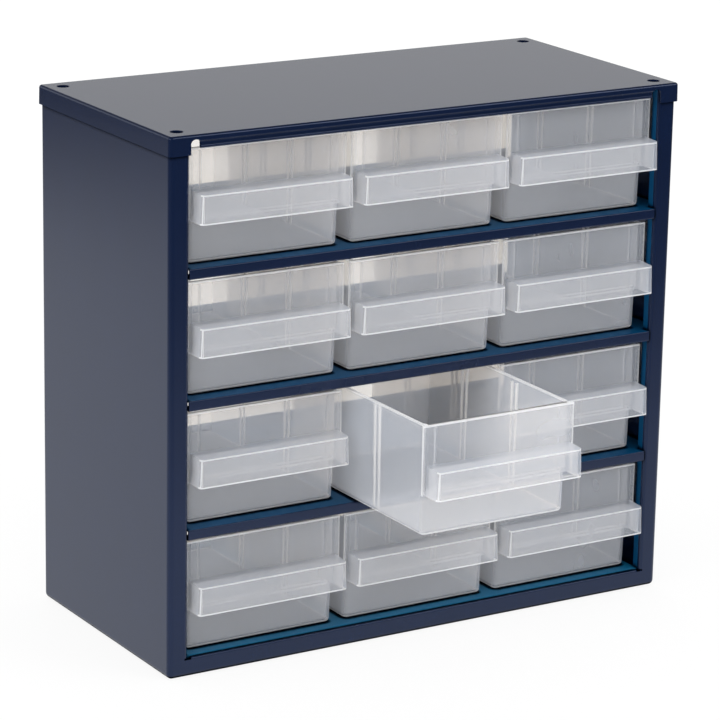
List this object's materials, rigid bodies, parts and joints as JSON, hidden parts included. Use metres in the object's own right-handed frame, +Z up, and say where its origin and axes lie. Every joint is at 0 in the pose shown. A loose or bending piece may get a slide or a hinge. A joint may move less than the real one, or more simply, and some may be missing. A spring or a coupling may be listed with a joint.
{
  "type": "parts bin cabinet",
  "caption": "Folded steel cabinet with rows of translucent plastic drawers for small parts, each with a hooded handle, on open shelves.",
  "frame": {"origin": "centre of the base's underside", "axes": "+X to the right seen from the front, +Y to the back, +Z up"},
  "size_m": [0.306, 0.2234, 0.282],
  "materials": {
    "painted_steel": "satin powder coat with a fine texture",
    "milky_plastic": "translucent natural polypropylene"
  },
  "bodies": {
    "case": {"cabinet_shell": "painted_steel", "lid": "painted_steel", "floor_panel": "painted_steel", "lower_shelf": "painted_steel", "upper_shelf": "painted_steel", "top_shelf": "painted_steel"},
    "drawer_bottom_left": {"drawer_bottom_left": "milky_plastic"},
    "drawer_bottom_middle": {"drawer_bottom_middle": "milky_plastic"},
    "drawer_bottom_right": {"drawer_bottom_right": "milky_plastic"},
    "drawer_lower_left": {"drawer_lower_left": "milky_plastic"},
    "drawer_lower_middle": {"drawer_lower_middle": "milky_plastic"},
    "drawer_lower_right": {"drawer_lower_right": "milky_plastic"},
    "drawer_upper_left": {"drawer_upper_left": "milky_plastic"},
    "drawer_upper_middle": {"drawer_upper_middle": "milky_plastic"},
    "drawer_upper_right": {"drawer_upper_right": "milky_plastic"},
    "drawer_top_left": {"drawer_top_left": "milky_plastic"},
    "drawer_top_middle": {"drawer_top_middle": "milky_plastic"},
    "drawer_top_right": {"drawer_top_right": "milky_plastic"}
  },
  "joints": [
    {"name": "slide_bottom_left", "type": "slide", "parent": "case", "child": "drawer_bottom_left", "axis": [0, -1, 0], "range_m": [0, 0.137]},
    {"name": "slide_bottom_middle", "type": "slide", "parent": "case", "child": "drawer_bottom_middle", "axis": [0, -1, 0], "range_m": [0, 0.137]},
    {"name": "slide_bottom_right", "type": "slide", "parent": "case", "child": "drawer_bottom_right", "axis": [0, -1, 0], "range_m": [0, 0.137]},
    {"name": "slide_lower_left", "type": "slide", "parent": "case", "child": "drawer_lower_left", "axis": [0, -1, 0], "range_m": [0, 0.137]},
    {"name": "slide_lower_middle", "type": "slide", "parent": "case", "child": "drawer_lower_middle", "axis": [0, -1, 0], "range_m": [-0.0734, 0.0636]},
    {"name": "slide_lower_right", "type": "slide", "parent": "case", "child": "drawer_lower_right", "axis": [0, -1, 0], "range_m": [0, 0.137]},
    {"name": "slide_upper_left", "type": "slide", "parent": "case", "child": "drawer_upper_left", "axis": [0, -1, 0], "range_m": [0, 0.137]},
    {"name": "slide_upper_middle", "type": "slide", "parent": "case", "child": "drawer_upper_middle", "axis": [0, -1, 0], "range_m": [0, 0.137]},
    {"name": "slide_upper_right", "type": "slide", "parent": "case", "child": "drawer_upper_right", "axis": [0, -1, 0], "range_m": [0, 0.137]},
    {"name": "slide_top_left", "type": "slide", "parent": "case", "child": "drawer_top_left", "axis": [0, -1, 0], "range_m": [0, 0.137]},
    {"name": "slide_top_middle", "type": "slide", "parent": "case", "child": "drawer_top_middle", "axis": [0, -1, 0], "range_m": [0, 0.137]},
    {"name": "slide_top_right", "type": "slide", "parent": "case", "child": "drawer_top_right", "axis": [0, -1, 0], "range_m": [0, 0.137]}
  ]
}
